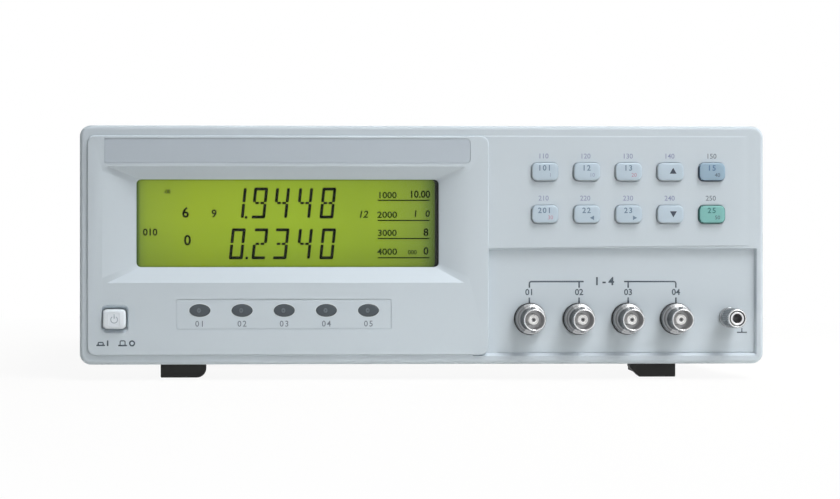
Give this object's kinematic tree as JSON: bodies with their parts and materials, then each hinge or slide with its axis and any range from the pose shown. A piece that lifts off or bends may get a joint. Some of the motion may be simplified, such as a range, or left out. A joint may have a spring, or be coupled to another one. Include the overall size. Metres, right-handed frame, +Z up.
{
  "type": "lcr meter",
  "caption": "Bench meter for coils, capacitors and resistors: lit display, keypad, coaxial test terminals, ground post, push-on power button and fold-out front legs.",
  "frame": {"origin": "on the bench under the middle of the bounding box", "axes": "+X to the right seen from the front, +Y from the front to the rear, +Z up"},
  "size_m": [0.307, 0.302, 0.1143],
  "materials": {
    "fascia": "moulded pale blue-grey plastic with a fine satin grain",
    "window": "clear sheet",
    "lcd": "display glass lit yellow-green from behind",
    "board": "green circuit board",
    "lens": "smoked translucent plastic",
    "white_cap": "white moulded plastic",
    "key_grey": "pale blue-grey moulded plastic",
    "key_blue": "light blue moulded plastic",
    "key_green": "sea-green moulded plastic",
    "black_plastic": "black moulded plastic",
    "white_insulator": "white fluoropolymer",
    "chrome": "bright nickel plating",
    "brass": "plain brass",
    "zinc_sheet": "zinc-plated sheet",
    "cover_paint": "pale grey fine-textured paint on steel sheet",
    "foot": "black moulded rubber",
    "fuse_glass": "glass tube",
    "core_steel": "varnished steel laminations",
    "copper": "enamelled copper under clear tape",
    "cable": "grey cable sheath"
  },
  "bodies": {
    "case": {"front_fascia": "fascia", "display_window": "window", "lcd_glass": "lcd", "display_board": "board", "indicator_lens_strip": "lens", "power_switch": "black_plastic", "keypad_board": "board", "ground_post_stud": "chrome", "ground_post_nut": "brass", "front_subpanel": "zinc_sheet", "chassis_tray": "zinc_sheet", "top_cover": "cover_paint", "rear_panel": "cover_paint", "power_inlet": "black_plastic", "serial_socket": "zinc_sheet", "handler_socket": "zinc_sheet", "main_board": "board", "power_board": "board", "transformer_core": "core_steel", "transformer_winding": "copper", "front_ribbon": "cable", "input_leads": "cable", "mains_lead": "cable", "bnc_shell_1": "chrome", "bnc_insulator_1": "white_insulator", "bnc_bushing_1": "black_plastic", "bnc_nut_1": "brass", "bnc_shell_2": "chrome", "bnc_insulator_2": "white_insulator", "bnc_bushing_2": "black_plastic", "bnc_nut_2": "brass", "bnc_shell_3": "chrome", "bnc_insulator_3": "white_insulator", "bnc_bushing_3": "black_plastic", "bnc_nut_3": "brass", "bnc_shell_4": "chrome", "bnc_insulator_4": "white_insulator", "bnc_bushing_4": "black_plastic", "bnc_nut_4": "brass", "foot_front_left": "foot", "foot_rear_left": "foot", "foot_front_right": "foot", "foot_rear_right": "foot"},
    "power_button": {"power_button": "white_cap"},
    "key_top_1": {"key_top_1": "key_grey"},
    "key_top_2": {"key_top_2": "key_grey"},
    "key_top_3": {"key_top_3": "key_grey"},
    "key_top_4": {"key_top_4": "key_grey"},
    "key_top_5": {"key_top_5": "key_blue"},
    "key_bottom_1": {"key_bottom_1": "key_grey"},
    "key_bottom_2": {"key_bottom_2": "key_grey"},
    "key_bottom_3": {"key_bottom_3": "key_grey"},
    "key_bottom_4": {"key_bottom_4": "key_grey"},
    "key_bottom_5": {"key_bottom_5": "key_green"},
    "tilt_leg_left": {"tilt_leg_left": "foot"},
    "tilt_leg_right": {"tilt_leg_right": "foot"},
    "ground_post_washer": {"ground_post_washer": "chrome"},
    "ground_post_knob": {"ground_post_knob": "chrome"},
    "fuse_drawer": {"fuse_drawer": "black_plastic", "mains_fuse": "fuse_glass"}
  },
  "joints": [
    {"name": "power_button_travel", "type": "slide", "parent": "case", "child": "power_button", "axis": [0, -1, 0], "range_m": [-0.0008, 0.0035]},
    {"name": "key_top_1_travel", "type": "slide", "parent": "case", "child": "key_top_1", "axis": [0, 1, 0], "range_m": [0, 0.001], "stiffness_N_per_m": 600},
    {"name": "key_top_2_travel", "type": "slide", "parent": "case", "child": "key_top_2", "axis": [0, 1, 0], "range_m": [0, 0.001], "stiffness_N_per_m": 600},
    {"name": "key_top_3_travel", "type": "slide", "parent": "case", "child": "key_top_3", "axis": [0, 1, 0], "range_m": [0, 0.001], "stiffness_N_per_m": 600},
    {"name": "key_top_4_travel", "type": "slide", "parent": "case", "child": "key_top_4", "axis": [0, 1, 0], "range_m": [0, 0.001], "stiffness_N_per_m": 600},
    {"name": "key_top_5_travel", "type": "slide", "parent": "case", "child": "key_top_5", "axis": [0, 1, 0], "range_m": [0, 0.001], "stiffness_N_per_m": 600},
    {"name": "key_bottom_1_travel", "type": "slide", "parent": "case", "child": "key_bottom_1", "axis": [0, 1, 0], "range_m": [0, 0.001], "stiffness_N_per_m": 600},
    {"name": "key_bottom_2_travel", "type": "slide", "parent": "case", "child": "key_bottom_2", "axis": [0, 1, 0], "range_m": [0, 0.001], "stiffness_N_per_m": 600},
    {"name": "key_bottom_3_travel", "type": "slide", "parent": "case", "child": "key_bottom_3", "axis": [0, 1, 0], "range_m": [0, 0.001], "stiffness_N_per_m": 600},
    {"name": "key_bottom_4_travel", "type": "slide", "parent": "case", "child": "key_bottom_4", "axis": [0, 1, 0], "range_m": [0, 0.001], "stiffness_N_per_m": 600},
    {"name": "key_bottom_5_travel", "type": "slide", "parent": "case", "child": "key_bottom_5", "axis": [0, 1, 0], "range_m": [0, 0.001], "stiffness_N_per_m": 600},
    {"name": "tilt_leg_left_fold", "type": "hinge", "parent": "case", "child": "tilt_leg_left", "pos_m": [-0.10714, -0.11925, 0.0023], "axis": [-1, 0, 0], "range_deg": [0, 95]},
    {"name": "tilt_leg_right_fold", "type": "hinge", "parent": "case", "child": "tilt_leg_right", "pos_m": [0.10714, -0.11925, 0.0023], "axis": [-1, 0, 0], "range_deg": [0, 95]},
    {"name": "ground_post_clamp", "type": "slide", "parent": "case", "child": "ground_post_washer", "axis": [0, -1, 0], "range_m": [0, 0.0024]},
    {"name": "ground_post_turn", "type": "hinge", "parent": "ground_post_washer", "child": "ground_post_knob", "pos_m": [0.13919, -0.1404, 0.0277], "axis": [0, -1, 0], "range_deg": [0, 1080]},
    {"name": "fuse_drawer_slide", "type": "slide", "parent": "case", "child": "fuse_drawer", "axis": [0, 1, 0], "range_m": [0, 0.018]}
  ],
  "couplings": [
    {"joint": "ground_post_turn", "follows": "ground_post_clamp", "rad_per_m": 7854}
  ]
}
